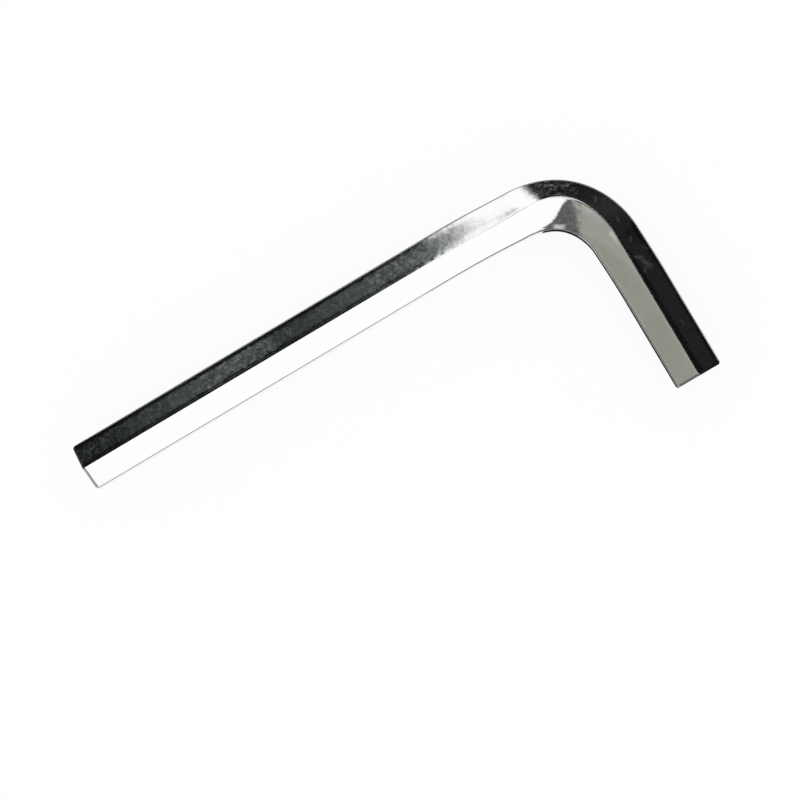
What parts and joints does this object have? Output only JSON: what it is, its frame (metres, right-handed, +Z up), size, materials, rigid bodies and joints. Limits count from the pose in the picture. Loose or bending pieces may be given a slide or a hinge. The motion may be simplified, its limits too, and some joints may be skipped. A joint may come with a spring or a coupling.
{
  "type": "hex key",
  "caption": "L-shaped hex key bent from plated hexagonal bar, with a long arm, a short arm and bevelled tips, lying flat on its edges.",
  "frame": {"origin": "under the middle of the box round the whole key, at the height of the lower edges that it lies on", "axes": "+X along the long arm from its tip towards the bend, the short arm points to -Y, +Z up, at right angles to the plane of the bend"},
  "size_m": [0.121, 0.052, 0.0114],
  "materials": {
    "plated_steel": "bright nickel plating on drawn steel bar, smooth, with a faint mottle on the flats"
  },
  "bodies": {
    "root": {"hex_key": "plated_steel"}
  },
  "joints": []
}
